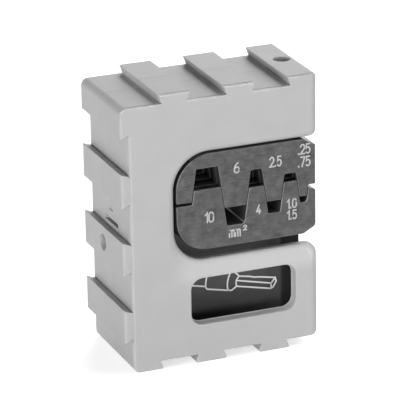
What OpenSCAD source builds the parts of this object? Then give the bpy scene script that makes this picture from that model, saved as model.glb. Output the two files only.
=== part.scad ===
// Stackable storage case holding a pair of ferrule crimping dies.
// x runs to the open right side, y to the rear and z up. Shapes are drawn from the
// floor of the left dovetail grooves, the front face and the floor of the bottom
// grooves; placed() then stands the whole model centred on the origin.

/* [Case] */
// Width from the left groove floor to the plain right side
case_w = 36.6; // [35:0.1:42]
// Height from the bottom groove floor to the top groove floor
case_h = 49.25; // [48.5:0.25:56]
// Depth from the front face to the rear face
case_d = 20; // [18:0.5:26]
// Thickness of the outer walls
wall = 2; // [1.6:0.1:2.4]
// Depth of the front shell, where the seam runs round the case
seam_y = 10.6; // [9.4:0.1:11]
// Corner radius of the outline, seen from the front
corner_r = 1.3; // [0.5:0.1:1.5]
// Corner radius at the top of the open side
top_corner_r = 0.6; // [0.3:0.1:1]
// Radius of the upright edges beside the open side, and of the window's edge
edge_r = 1.2; // [0.5:0.1:1.3]
// Radius of the upright edges on the left side
left_edge_r = 0.5; // [0.3:0.1:0.8]

/* [Dovetail rails] */
// Pitch of the rails on the top and the bottom
pitch_x = 12.5; // [11.5:0.1:13.5]
// Pitch of the rails up the left side
pitch_z = 13.05; // [12.5:0.05:13.6]
// Height of a rail over its groove floor
rail_h = 1.6; // [1:0.1:1.9]
// Undercut on each flank of a rail
undercut = 0.6; // [0.3:0.1:0.9]
// Play between a rail's tip and the opening that receives it
rail_play = 0.1; // [0.05:0.05:0.4]
// Centre of the first top rail
top_rail_x = 8.95; // [8:0.05:10]
// Centre of the lowest left rail
left_rail_z = 7.6; // [7:0.05:8.2]
// How far the ends of the left rails stand back from the front and rear faces
rail_set = 0.12; // [0.1:0.02:0.3]

/* [Snap features] */
// Diameter of the round dimples
dimple_d = 3.2; // [2:0.1:3.4]
// Depth of the round dimples
dimple_depth = 1.35; // [1:0.05:1.6]
// Distance of the top dimple from the open side
dimple_inset = 2.45; // [1.8:0.05:2.9]
// Length of the spring slit in the left wall
slit_l = 6.6; // [4:0.1:8]
// Height of the spring slit
slit_h = 0.85; // [0.5:0.05:1.1]
// Height of the slit's middle over the rail below it
slit_rise = 0.85; // [0.7:0.05:1.2]
// Length of the shallow snap recess, along the case's depth
recess_l = 2; // [1.2:0.1:2.4]
// Height of the snap recess on the wall
recess_h = 2; // [1.2:0.1:2.4]
// Depth of the snap recess
recess_depth = 0.3; // [0.2:0.05:0.5]
// Distance of the snap recess's middle from the front face
recess_y = 10.3; // [9.6:0.1:11]
// Distance from the slit up to the snap recess's middle
recess_rise = 2.9; // [2.4:0.1:3.2]

/* [Windows] */
// Gap between the die heads and the window's top and left edge
window_gap = 0.17; // [0.1:0.01:0.5]
// Gap between the lower head and the window's ledge
ledge_gap = 2.2; // [1.5:0.1:2.6]
// Radius of the ledge's corner at the open side
ledge_corner_r = 2.2; // [1.5:0.1:2.8]
// Radius of the upper bar's corner at the open side
bar_corner_r = 1.4; // [1.4:0.1:2]
// Distance from the heads' left edge to the label window
label_inset = 2.75; // [2:0.05:4]
// Height of the bar between the label window and the ledge
bar_h = 3.55; // [3:0.05:4.5]
// Width of the label window
label_w = 20.4; // [16:0.1:21]
// Height of the label window
label_h = 8.65; // [7:0.05:9]
// Corner radius of the label window
label_r = 2.1; // [1.5:0.1:3.2]
// Radius of the label window's edge
label_edge_r = 0.5; // [0.3:0.1:0.8]

/* [Inside the case] */
// Thickness of the guide ribs beside the tangs
guide_t = 1.4; // [1:0.1:1.8]
// Height of the guide ribs over the wall
guide_h = 1.4; // [1:0.1:1.4]
// Side play of a tang between its guide ribs
guide_play = 0.15; // [0.1:0.05:0.3]
// Height play of a tang between the walls
tang_play = 0.2; // [0.1:0.05:0.4]
// Thickness of the webs that stop the dies
web_t = 1.2; // [0.8:0.1:1.6]
// Distance of each stop web from the split line
web_rise = 2; // [1.6:0.1:2.2]
// Diameter of the bosses that locate the shells
boss_d = 4.4; // [3.8:0.1:5]
// Diameter of the locating pegs in the bosses
peg_d = 2; // [1.6:0.1:2.4]
// Length of the locating pegs
peg_l = 3.2; // [2:0.1:4]
// Diameter of the small pegs in the rails
rail_peg_d = 1.4; // [1:0.1:1.6]
// Radial play round every peg
peg_play = 0.05; // [0.02:0.01:0.15]
// Distance of a boss from the inner faces beside it
boss_inset = 3.3; // [3:0.1:3.8]

/* [Die pair] */
// Width of the die heads
die_w = 27.4; // [26.8:0.05:28]
// How far the die pair stands in from the open side
die_set = 0.45; // [0.2:0.05:1]
// Height of the closed pair of heads
die_h = 18.3; // [17.5:0.1:19]
// Distance from the top groove floor down to the split line
split_drop = 19.7; // [19:0.05:20.5]
// Gap between the two shoulders as stored
split_gap = 0.5; // [0.3:0.05:0.8]
// Radius of the heads' outer corners
head_r = 6; // [5:0.1:6.4]
// Width of the chamfer beside the open side
chamfer_w = 2.4; // [1:0.1:3]
// Height of the chamfer beside the open side
chamfer_h = 1.3; // [0.6:0.1:2]
// Drop of the entry bevel that opens the V beside the last nest
entry_drop = 0.6; // [0.2:0.1:1.2]

/* [Crimp nests] */
// Distance from the heads' left edge to the first flank, at the split line
first_flank = 3.13; // [2.6:0.01:3.4]
// Angle of every flank from upright
flank_angle = 8.5; // [7.5:0.1:9]
// Play between a tooth and the nest that it enters, on each flank
flank_play = 0.12; // [0.1:0.01:0.16]
// Width of the nest for 10, at the split line
nest_10_w = 6.02; // [5.7:0.01:6.2]
// Width of the nest for 6, at the split line
nest_6_w = 4.86; // [4.5:0.01:5]
// Width of the nest for 4, at the split line
nest_4_w = 3.44; // [3.2:0.01:3.6]
// Width of the nest for 2.5, at the split line
nest_25_w = 3.44; // [3.2:0.01:3.6]
// Width of the nest for 1 and 1.5, at the split line
nest_15_w = 3.04; // [2.8:0.01:3.2]
// Width of the nest for 0.25 to 0.75, at the split line
nest_075_w = 2.07; // [1.9:0.01:2.2]
// Depth of the nest for 10 from the split line
nest_10_h = 6.4; // [6:0.05:6.8]
// Depth of the nest for 6 from the split line
nest_6_h = 5.28; // [4.9:0.02:5.6]
// Depth of the nest for 4 from the split line
nest_4_h = 4.72; // [4.3:0.02:5]
// Depth of the nest for 2.5 from the split line
nest_25_h = 4.15; // [3.8:0.05:4.4]
// Depth of the nest for 1 and 1.5 from the split line
nest_15_h = 2.95; // [2.6:0.05:3.3]
// Depth of the nest for 0.25 to 0.75 from the split line
nest_075_h = 3; // [2.8:0.05:3.3]
// Height of the tooth in the nest for 10
tooth_10_h = 2.38; // [2:0.02:2.8]
// Height of the tooth in the nest for 6
tooth_6_h = 1.8; // [1.5:0.05:2.2]
// Height of the tooth in the nest for 4
tooth_4_h = 1.38; // [1.1:0.02:1.7]
// Height of the tooth in the nest for 2.5
tooth_25_h = 1.85; // [1.6:0.05:2.1]
// Height of the tooth in the nest for 1 and 1.5
tooth_15_h = 1.4; // [1.2:0.05:1.6]
// Height of the tooth in the nest for 0.25 to 0.75
tooth_075_h = 1.85; // [1.6:0.05:2]
// Pitch of the crimp grooves across the nests
groove_pitch = 3.2; // [3:0.1:3.4]
// Width of a crimp groove
groove_w = 1.5; // [1:0.1:2]
// Depth of a crimp groove
groove_depth = 0.5; // [0.2:0.05:0.6]
// Distance of the first crimp groove from the front face
groove_first = 1.5; // [1.2:0.1:2]

/* [Tangs] */
// Thickness of the tangs
tang_t = 4.4; // [3.6:0.1:5]
// How far the tangs stand in from the heads' left edge
tang_set = 1; // [0.5:0.1:2]
// Radius of the tangs' free corners
tang_r = 1.5; // [0.5:0.1:2.5]
// Diameter of the locking bores
lock_d = 4; // [3:0.1:4.4]
// Distance of the locking bores from the dies' right end
lock_inset = 8.7; // [7:0.1:10]
// Distance from the lower head down to its locking bore
low_lock = 6.7; // [6:0.05:7.5]
// Distance from the upper head up to its locking bore
high_lock = 4.2; // [3.6:0.1:4.6]

/* [Hidden] */
$fn = 72;
eps = 0.02;
plastic = [0.72, 0.72, 0.72];
oxide = [0.22, 0.22, 0.23];

// die pair places
die_right = case_w - die_set;
die_x = die_right - die_w;
split_z = case_h - split_drop;
head_low = split_z - die_h / 2;
head_high = split_z + die_h / 2;
nest_w = [nest_10_w, nest_6_w, nest_4_w, nest_25_w, nest_15_w, nest_075_w];
nest_h = [nest_10_h, nest_6_h, nest_4_h, nest_25_h, nest_15_h, nest_075_h];
tooth_h = [tooth_10_h, tooth_6_h, tooth_4_h, tooth_25_h, tooth_15_h, tooth_075_h];
last = len(nest_w) - 1;
tang_front = (case_d - tang_t) / 2;
tang_rear = tang_front + tang_t;
tang_low = wall + tang_play;
tang_high = case_h - wall - tang_play;
tang_x = die_x + tang_set;
lock_x = die_right - lock_inset;

// case places
window_x = die_x - window_gap;
window_low = head_low - ledge_gap;
window_high = head_high + window_gap;
window_r = head_r + window_gap;
label_x = die_x + label_inset;
label_z = window_low - bar_h - label_h;
third_rail_z = left_rail_z + pitch_z;
side_rails = floor((case_h - left_rail_z) / pitch_z);
corner_rail_z = left_rail_z + side_rails * pitch_z;
corner_rail_low = corner_rail_z - (pitch_z / 2 - rail_play) / 2 + undercut;
slit_z = third_rail_z + (pitch_z / 2 - rail_play) / 2 + slit_rise;
recess_z = slit_z + recess_rise;
bottom_rail_x = top_rail_x - pitch_x / 2;
edge_margin = rail_peg_d + 0.4;
second_top_x = top_rail_x + pitch_x;
last_bottom_x = bottom_rail_x + pitch_x * floor((case_w - edge_margin - bottom_rail_x) / pitch_x);
boss_places = [
    [wall + boss_inset, wall + boss_inset],
    [wall + boss_inset, case_h - wall - boss_inset]
];
rail_peg_places = [
    [last_bottom_x, (wall - rail_h) / 2],
    [second_top_x, case_h + (rail_h - wall) / 2]
];

// the even nests open upwards, so their left flank leans to the right
function even(i) = i % 2 == 0;
function sum(list, n) = n == 0 ? 0 : list[n - 1] + sum(list, n - 1);
function flank_x(i, rise) = die_x + first_flank + sum(nest_w, i) + (even(i) ? 1 : -1) * rise * tan(flank_angle);

// edge of one die from left to right; side is 1 for the upper die and -1 for the lower
function nest_level(i, side) = (even(i) ? 1 : -1) * (even(i) == (side > 0) ? nest_h[i] : tooth_h[i]);
function wall_shift(i, side) = (even(i) ? -1 : 1) * side * flank_play / 2;
function flank_point(i, rise, side) = [flank_x(i, rise) + wall_shift(i, side), split_z + rise];
function die_edge(side) = concat(
    [[die_x - 1, split_z + side * split_gap / 2], flank_point(0, side * split_gap / 2, side)],
    [for (i = [0 : last]) each [
        flank_point(i, nest_level(i, side), side),
        flank_point(i + 1, nest_level(i, side), side)
    ]],
    [flank_point(last + 1, side * split_gap / 2, side)],
    [[die_right + eps, split_z + side * split_gap / 2 - (side < 0 ? entry_drop : 0)]]
);

module placed() translate([(rail_h - case_w) / 2, -case_d / 2, rail_h]) children();

// an outline drawn in x and z, given depth from y0 to y1
module slab(y0, y1) translate([0, y1, 0]) rotate([90, 0, 0]) linear_extrude(height = y1 - y0) children();

module behind() translate([0, case_d, 0]) mirror([0, 1, 0]) children();

// what a convex corner at [x, y] loses when it is rounded; sx and sy point out of it
module corner_cut(x, y, r, sx, sy) {
    difference() {
        translate([x - sx * (r - eps) / 2, y - sy * (r - eps) / 2]) square(r + eps, center = true);
        translate([x - sx * r, y - sy * r]) circle(r);
    }
}

module rail_profile(pitch) {
    tip = pitch / 2 - rail_play;
    polygon([
        [-tip / 2 + undercut, -0.5], [tip / 2 - undercut, -0.5], [tip / 2 - undercut, 0],
        [tip / 2, rail_h], [-tip / 2, rail_h], [-tip / 2 + undercut, 0]
    ]);
}

module case_outline() {
    difference() {
        union() {
            square([case_w, case_h]);
            intersection() {
                translate([0, -2 * rail_h]) square([case_w, case_h + 4 * rail_h]);
                union() {
                    for (x = [top_rail_x : pitch_x : case_w + pitch_x / 4])
                        translate([x, case_h]) rail_profile(pitch_x);
                    for (x = [bottom_rail_x : pitch_x : case_w])
                        translate([x, 0]) mirror([0, 1]) rail_profile(pitch_x);
                }
            }
            intersection() {
                translate([-2 * rail_h, 0]) square([case_w, case_h]);
                translate([0, corner_rail_z]) rotate(90) rail_profile(pitch_z);
            }
        }
        corner_cut(-rail_h, case_h, corner_r, -1, 1);
        corner_cut(0, -rail_h, corner_r, -1, -1);
        corner_cut(case_w, 0, corner_r, 1, -1);
        corner_cut(case_w, case_h + rail_h, top_corner_r, 1, 1);
    }
}

module cavity_outline() translate([wall, wall]) square([case_w, case_h - 2 * wall]);

module window_outline() {
    difference() {
        translate([window_x, window_low]) square([case_w, window_high - window_low]);
        corner_cut(window_x, window_low, window_r, -1, -1);
        corner_cut(window_x, window_high, window_r, -1, 1);
    }
    corner_cut(case_w, window_low, ledge_corner_r, 1, 1);
    corner_cut(case_w, window_high, bar_corner_r, 1, -1);
}

module label_outline() {
    difference() {
        translate([label_x, label_z]) square([label_w, label_h]);
        for (sx = [-1, 1], sz = [-1, 1])
            corner_cut(label_x + (sx + 1) / 2 * label_w, label_z + (sz + 1) / 2 * label_h, label_r, sx, sz);
    }
}

// rounding of a front edge that runs along x, at height z
module edge_along_x(x0, x1, z, r, sz)
    translate([x0, 0, 0]) rotate([90, 0, 90]) linear_extrude(height = x1 - x0) corner_cut(0, z, r, -1, sz);

// rounding of an upright front edge, at x
module edge_along_z(x, z0, z1, r, sx)
    translate([0, 0, z0]) linear_extrude(height = z1 - z0) corner_cut(x, 0, r, sx, -1);

// rounding of a front edge that follows an arc of radius turn, in one quadrant
module edge_on_arc(x, z, turn, r, s_rho, sx, sz) {
    reach = turn + 2 * r;
    intersection() {
        translate([x, 0, z]) rotate([-90, 0, 0]) rotate_extrude() corner_cut(turn, 0, r, s_rho, -1);
        translate([x + sx * reach / 2, 0, z + sz * reach / 2]) cube([reach, 4 * r, reach], center = true);
    }
}

module front_roundings() {
    left_turn_x = window_x + window_r;
    low_turn_z = window_low + window_r;
    high_turn_z = window_high - window_r;
    edge_along_z(-rail_h, corner_rail_low - undercut, case_h, left_edge_r, -1);
    edge_along_z(0, -2 * rail_h, corner_rail_low, left_edge_r, -1);
    edge_along_z(case_w, -2 * rail_h, case_h + 2 * rail_h, edge_r, 1);
    edge_along_z(window_x, low_turn_z, high_turn_z, edge_r, 1);
    edge_along_x(left_turn_x, case_w - ledge_corner_r, window_low, edge_r, 1);
    edge_along_x(left_turn_x, case_w - bar_corner_r, window_high, edge_r, -1);
    edge_on_arc(left_turn_x, low_turn_z, window_r, edge_r, -1, -1, -1);
    edge_on_arc(left_turn_x, high_turn_z, window_r, edge_r, -1, -1, 1);
    edge_on_arc(case_w - ledge_corner_r, window_low - ledge_corner_r, ledge_corner_r, edge_r, 1, 1, 1);
    edge_on_arc(case_w - bar_corner_r, window_high + bar_corner_r, bar_corner_r, edge_r, 1, 1, -1);
}

module label_roundings() {
    turn_x = label_w / 2 - label_r;
    turn_z = label_h / 2 - label_r;
    translate([label_x + label_w / 2, 0, label_z + label_h / 2])
        for (side = [-1, 1]) {
            edge_along_x(-turn_x, turn_x, side * label_h / 2, label_edge_r, -side);
            edge_along_z(side * label_w / 2, -turn_z, turn_z, label_edge_r, -side);
            for (sz = [-1, 1]) edge_on_arc(side * turn_x, sz * turn_z, label_r, label_edge_r, -1, side, sz);
        }
}

// the left rails below the corner, from their set-back ends to depth y1
module side_rails(y1) {
    difference() {
        slab(rail_set, y1)
            for (i = [0 : side_rails - 1])
                translate([0, left_rail_z + i * pitch_z]) rotate(90) rail_profile(pitch_z);
        translate([0, rail_set, 0]) edge_along_z(-rail_h, 0, case_h, left_edge_r, -1);
    }
}

module dimples() {
    translate([-rail_h - 1, seam_y, third_rail_z]) rotate([0, 90, 0]) cylinder(h = 1 + dimple_depth, d = dimple_d);
    translate([case_w - dimple_inset, seam_y, case_h + rail_h - dimple_depth]) cylinder(h = 1, d = dimple_d);
}

module spring_slit()
    translate([-1, (case_d - slit_l) / 2, slit_z - slit_h / 2]) cube([wall + 2, slit_l, slit_h]);

module snap_recess()
    translate([-1, recess_y - recess_l / 2, recess_z - recess_h / 2]) cube([1 + recess_depth, recess_l, recess_h]);

module guide_ribs(y0)
    for (z = [wall - eps, case_h - wall - guide_h])
        translate([wall - eps, y0, z]) cube([case_w - wall - edge_r, guide_t, guide_h + eps]);

module stop_webs(y0, y1)
    for (side = [-1, 1])
        translate([wall - eps, y0, split_z + side * web_rise - web_t / 2]) cube([die_x - wall + eps, y1 - y0, web_t]);

module y_rod(place, y0, y1, d) translate([place[0], y0, place[1]]) rotate([-90, 0, 0]) cylinder(h = y1 - y0, d = d);

module front_shell() color(plastic) placed() difference() {
    union() {
        difference() {
            slab(0, seam_y) case_outline();
            slab(wall, seam_y + 1) cavity_outline();
            slab(-1, wall + 1) window_outline();
            slab(-1, wall + 1) label_outline();
            front_roundings();
            label_roundings();
            spring_slit();
        }
        side_rails(seam_y);
        guide_ribs(tang_front - guide_play - guide_t);
        stop_webs(wall - eps, seam_y);
        for (place = boss_places) y_rod(place, wall - eps, seam_y, boss_d);
    }
    dimples();
    snap_recess();
    for (place = boss_places) y_rod(place, seam_y - peg_l - 0.3, seam_y + 1, peg_d + 2 * peg_play);
    for (place = rail_peg_places) y_rod(place, seam_y - peg_l - 0.3, seam_y + 1, rail_peg_d + 2 * peg_play);
}

module rear_shell() color(plastic) placed() union() {
    difference() {
        union() {
            difference() {
                slab(seam_y, case_d) case_outline();
                slab(seam_y - 1, case_d - wall) cavity_outline();
                slab(case_d - wall - 1, case_d + 1) window_outline();
                behind() front_roundings();
                spring_slit();
            }
            behind() side_rails(case_d - seam_y);
            guide_ribs(tang_rear + guide_play);
            stop_webs(seam_y, case_d - wall + eps);
            for (place = boss_places) y_rod(place, seam_y, case_d - wall + eps, boss_d);
        }
        dimples();
        snap_recess();
    }
    for (place = boss_places) y_rod(place, seam_y - peg_l, seam_y + 1, peg_d);
    for (place = rail_peg_places) y_rod(place, seam_y - peg_l, seam_y + 1, rail_peg_d);
}

module heads_outline() {
    difference() {
        translate([die_x, head_low]) square([die_w, die_h]);
        for (sz = [-1, 1]) {
            corner_cut(die_x, split_z + sz * die_h / 2, head_r, -1, sz);
            translate([die_right, split_z + sz * die_h / 2])
                polygon([[eps, sz * eps], [-chamfer_w, sz * eps], [-chamfer_w, 0], [0, -sz * chamfer_h], [eps, -sz * chamfer_h]]);
        }
    }
}

module head_outline(side) {
    far = split_z + side * die_h;
    intersection() {
        heads_outline();
        polygon(concat(die_edge(side), [[die_right + eps, far], [die_x - 1, far]]));
    }
}

// section of a closed nest, grown all round by the groove depth
module nest_section(i) {
    dir = even(i) ? 1 : -1;
    near = dir * (tooth_h[i] - groove_depth);
    far = dir * (nest_h[i] + groove_depth);
    polygon([
        [flank_x(i, near) - groove_depth, split_z + near],
        [flank_x(i + 1, near) + groove_depth, split_z + near],
        [flank_x(i + 1, far) + groove_depth, split_z + far],
        [flank_x(i, far) - groove_depth, split_z + far]
    ]);
}

// groove across the tip of the tooth alone
module tip_section(i) {
    dir = even(i) ? 1 : -1;
    near = dir * (tooth_h[i] - groove_depth);
    far = dir * (tooth_h[i] + groove_depth);
    polygon([
        [flank_x(i, near) - flank_play, split_z + near],
        [flank_x(i + 1, near) + flank_play, split_z + near],
        [flank_x(i + 1, far) + flank_play, split_z + far],
        [flank_x(i, far) - flank_play, split_z + far]
    ]);
}

module crimp_grooves()
    for (y = [groove_first : groove_pitch : case_d - groove_w])
        slab(y - groove_w / 2, y + groove_w / 2)
            for (i = [0 : last])
                if (even(i)) nest_section(i);
                else tip_section(i);

module tang_outline(z0, z1, corner_z, sz) {
    difference() {
        translate([tang_x, z0]) square([die_right - tang_x, z1 - z0]);
        corner_cut(tang_x, corner_z, tang_r, -1, sz);
        corner_cut(die_right, corner_z, tang_r, 1, sz);
    }
}

module lock_bore(z) y_rod([lock_x, z], tang_front - 1, tang_rear + 1, lock_d);

module upper_die() color(oxide) placed() difference() {
    union() {
        slab(0, case_d) head_outline(1);
        slab(tang_front, tang_rear) tang_outline(head_high - 1, tang_high, tang_high, 1);
    }
    crimp_grooves();
    lock_bore(head_high + high_lock);
}

module lower_die() color(oxide) placed() difference() {
    union() {
        slab(0, case_d) head_outline(-1);
        slab(tang_front, tang_rear) tang_outline(tang_low, head_low + 1, tang_low, -1);
    }
    crimp_grooves();
    lock_bore(head_low - low_lock);
}

front_shell();
rear_shell();
upper_die();
lower_die();
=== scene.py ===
# Pair of ferrule crimping dies in a stackable storage case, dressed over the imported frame
import math
import bmesh
import bpy
from mathutils import Matrix, Vector


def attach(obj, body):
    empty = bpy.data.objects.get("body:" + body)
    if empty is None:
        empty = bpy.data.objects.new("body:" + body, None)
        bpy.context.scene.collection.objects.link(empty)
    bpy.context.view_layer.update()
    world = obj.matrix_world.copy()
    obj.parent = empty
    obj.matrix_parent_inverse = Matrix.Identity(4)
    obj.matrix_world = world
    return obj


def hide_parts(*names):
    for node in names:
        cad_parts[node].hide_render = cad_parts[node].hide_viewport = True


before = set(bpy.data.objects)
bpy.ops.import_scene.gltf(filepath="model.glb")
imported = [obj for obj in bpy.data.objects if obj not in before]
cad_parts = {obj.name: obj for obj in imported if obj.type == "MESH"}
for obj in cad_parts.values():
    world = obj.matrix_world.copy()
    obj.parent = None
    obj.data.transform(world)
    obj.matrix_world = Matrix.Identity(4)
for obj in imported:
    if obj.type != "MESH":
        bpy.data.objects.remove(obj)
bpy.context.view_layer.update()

# Sizes are drawn in mm from the left groove floor, the front face and the bottom groove floor
drawingOrigin = Vector((17.5, 10.0, -1.6))
toFrame = Matrix.Scale(0.001, 4) @ Matrix.Translation(-drawingOrigin)


# Outline tools

def filletedRing(corners, insets, depths, grow=0.0):
    # corners are (x, z, radius, steps), counter-clockwise from the front
    # insets and depths belong to the edge after each corner
    count = len(corners)
    edges = []
    for index in range(count):
        start = Vector(corners[index][:2])
        along = (Vector(corners[(index + 1) % count][:2]) - start).normalized()
        inward = Vector((-along.y, along.x))
        edges.append((start + inward * (insets[index] - grow), along, inward))
    ring = []
    for index in range(count):
        startA, alongA, inwardA = edges[index - 1]
        startB, alongB, _ = edges[index]
        cross = alongA.x * alongB.y - alongA.y * alongB.x
        gap = startB - startA
        tip = startA + alongA * ((gap.x * alongB.y - gap.y * alongB.x) / cross)
        turn = math.atan2(cross, alongA.dot(alongB))
        side = 1.0 if turn > 0 else -1.0
        meanInset = (insets[index - 1] + insets[index]) / 2 - grow
        radius = max(corners[index][2] - side * meanInset, 0.012)   # never quite sharp, in mm
        touch = tip - alongA * radius * math.tan(abs(turn) / 2)
        centre = touch + inwardA * radius * side
        steps = corners[index][3]
        for step in range(steps + 1):
            share = step / steps
            spoke = Matrix.Rotation(turn * share, 2) @ (touch - centre)
            point = centre + spoke
            depth = depths[index - 1] * (1 - share) + depths[index] * share
            ring.append(Vector((point.x, depth, point.y)))
    return ring


def solidFromRings(name, rings, mirrorDepth=None):
    # rings run from the front to the rear; mirrorDepth turns the piece back to front
    mesh = bpy.data.meshes.new(name)
    build = bmesh.new()
    rows = []
    for ring in rings:
        row = []
        for point in ring:
            depth = point.y if mirrorDepth is None else mirrorDepth - point.y
            row.append(build.verts.new((point.x, depth, point.z)))
        rows.append(row)
    count = len(rows[0])
    faces = [list(rows[0]), list(reversed(rows[-1]))]
    for near, far in zip(rows, rows[1:]):
        for index in range(count):
            after = (index + 1) % count
            faces.append([near[index], far[index], far[after], near[after]])
    for face in faces:
        build.faces.new(face if mirrorDepth is None else list(reversed(face)))
    build.to_mesh(mesh)
    build.free()
    piece = bpy.data.objects.new(name, mesh)
    bpy.context.collection.objects.link(piece)
    return piece


def roundedRings(corners, edgeRadii, front, back, roundSteps, backBreak, leans=None, lines=None):
    # the front edge has its own radius on each side of the outline, the rear edge is broken
    # a lean tilts the strip before the rounding, a line is a fine groove behind it
    count = len(corners)
    rings = []
    if leans:
        for share in (0.0, 0.25, 0.5, 0.75):
            insets = [radius + max(width, 0.02) * (1 - share)
                      for radius, (width, fall) in zip(edgeRadii, leans)]
            depths = [front + fall * share ** 2 for width, fall in leans]
            rings.append(filletedRing(corners, insets, depths))
    falls = [fall for width, fall in leans] if leans else [0.0] * count
    for step in range(roundSteps + 1):
        angle = math.pi / 2 * step / roundSteps
        insets = [radius * (1 - math.sin(angle)) for radius in edgeRadii]
        depths = [front + fall + (radius - fall) * (1 - math.cos(angle))
                  for radius, fall in zip(edgeRadii, falls)]
        rings.append(filletedRing(corners, insets, depths))
    flat = [0.0] * count
    if lines:
        lineFront, lineWidth, lineDepths = lines
        slope = 0.05    # length of each side of the groove
        starts = [front + max(radius + 0.03, lineFront) for radius in edgeRadii]
        sections = ((flat, 0.0), (lineDepths, slope), (lineDepths, lineWidth - slope), (flat, lineWidth))
        for insets, extra in sections:
            rings.append(filletedRing(corners, insets, [depth + extra for depth in starts]))
    rings.append(filletedRing(corners, flat, [back - backBreak] * count))
    rings.append(filletedRing(corners, [backBreak] * count, [back] * count))
    return rings


def block(x0, z0, x1, z1):
    return [(x0, z0), (x1, z0), (x1, z1), (x0, z1)]


def prism(name, points, front, back, edge, fillet, mirrorDepth=None):
    corners = [(x, z, fillet, 2) for x, z in points]
    rings = roundedRings(corners, [edge] * len(corners), front, back, 2, edge)
    return solidFromRings(name, rings, mirrorDepth)


def rod(name, start, end, radius, sides=64):
    start = Vector(start)
    axis = Vector(end) - start
    mesh = bpy.data.meshes.new(name)
    build = bmesh.new()
    turn = axis.to_track_quat("Z", "Y").to_matrix().to_4x4()
    middle = Matrix.Translation(start + axis / 2) @ turn
    bmesh.ops.create_cone(build, cap_ends=True, segments=sides, radius1=radius, radius2=radius,
                          depth=axis.length, matrix=middle)
    build.to_mesh(mesh)
    build.free()
    piece = bpy.data.objects.new(name, mesh)
    bpy.context.collection.objects.link(piece)
    return piece


def keepEvaluated(piece):
    graph = bpy.context.evaluated_depsgraph_get()
    made = bpy.data.meshes.new_from_object(piece.evaluated_get(graph))
    old = piece.data
    piece.modifiers.clear()
    piece.data = made
    bpy.data.meshes.remove(old)


def cut(piece, cutters):
    for cutter in cutters:
        carving = piece.modifiers.new("carving", "BOOLEAN")
        carving.operation = "DIFFERENCE"
        carving.solver = "EXACT"
        carving.object = cutter
        keepEvaluated(piece)
        bpy.data.objects.remove(cutter)


def joined(name, parts):
    # one mesh of several closed shells that overlap
    mesh = bpy.data.meshes.new(name)
    build = bmesh.new()
    for part in parts:
        build.from_mesh(part.data)
        bpy.data.objects.remove(part)
    build.to_mesh(mesh)
    build.free()
    piece = bpy.data.objects.new(name, mesh)
    bpy.context.collection.objects.link(piece)
    return piece


def finishPiece(piece, material, body, sharpAngle):
    largeFace = 3e-7     # square metres; a face of this size or more that lies square keeps its flat shading
    mesh = piece.data
    mesh.transform(toFrame)
    mesh.materials.clear()
    mesh.materials.append(material)
    mesh.shade_smooth()
    mesh.set_sharp_from_angle(angle=math.radians(sharpAngle))
    for face in mesh.polygons:
        if face.area > largeFace and max(abs(part) for part in face.normal) > 0.99998:
            face.use_smooth = False
    shading = piece.modifiers.new("face weighted shading", "WEIGHTED_NORMAL")
    shading.keep_sharp = True
    shading.weight = 90
    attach(piece, body)


# Shader node groups

def nodeGroup(name, inputs, outputs):
    group = bpy.data.node_groups.new(name, "ShaderNodeTree")
    for label, kind, value in inputs:
        socket = group.interface.new_socket(name=label, in_out="INPUT", socket_type=kind)
        socket.default_value = value
    for label, kind in outputs:
        group.interface.new_socket(name=label, in_out="OUTPUT", socket_type=kind)
    return group, group.nodes.new("NodeGroupInput"), group.nodes.new("NodeGroupOutput")


def noiseNode(tree, source, scale, detail, roughness):
    noise = tree.nodes.new("ShaderNodeTexNoise")
    noise.inputs["Detail"].default_value = detail
    noise.inputs["Roughness"].default_value = roughness
    tree.links.new(scale, noise.inputs["Scale"])
    tree.links.new(source, noise.inputs["Vector"])
    return noise.outputs["Fac"]


def feed(tree, value, socket):
    # a plain number is set on the socket, anything else is linked to it
    if isinstance(value, (int, float)):
        socket.default_value = value
    else:
        tree.links.new(value, socket)


def mathNode(tree, operation, first, second=0.0):
    node = tree.nodes.new("ShaderNodeMath")
    node.operation = operation
    feed(tree, first, node.inputs[0])
    feed(tree, second, node.inputs[1])
    return node.outputs[0]


def rangeNode(tree, value, low, high, outLow, outHigh):
    node = tree.nodes.new("ShaderNodeMapRange")
    node.interpolation_type = "SMOOTHSTEP"
    ends = {"Value": value, "From Min": low, "From Max": high, "To Min": outLow, "To Max": outHigh}
    for label, end in ends.items():
        feed(tree, end, node.inputs[label])
    return node.outputs["Result"]


def axisPart(tree, vector, axis):
    split = tree.nodes.new("ShaderNodeSeparateXYZ")
    tree.links.new(vector, split.inputs[0])
    return split.outputs[axis]


def makeGrain():
    # fine moulded or blasted grain: a height and a soft patchiness, both round 0.5
    group, start, end = nodeGroup("surface grain", [
        ("Vector", "NodeSocketVector", (0, 0, 0)),
        ("Grain Scale", "NodeSocketFloat", 4.0),
        ("Patch Scale", "NodeSocketFloat", 0.2),
        ("Stretch", "NodeSocketVector", (1, 1, 1)),
    ], [("Height", "NodeSocketFloat"), ("Patches", "NodeSocketFloat")])
    stretched = group.nodes.new("ShaderNodeVectorMath")
    stretched.operation = "MULTIPLY"
    group.links.new(start.outputs["Vector"], stretched.inputs[0])
    group.links.new(start.outputs["Stretch"], stretched.inputs[1])
    fine = noiseNode(group, stretched.outputs["Vector"], start.outputs["Grain Scale"], 3.0, 0.6)
    patches = noiseNode(group, start.outputs["Vector"], start.outputs["Patch Scale"], 4.0, 0.55)
    group.links.new(fine, end.inputs["Height"])
    group.links.new(patches, end.inputs["Patches"])
    return group


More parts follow.
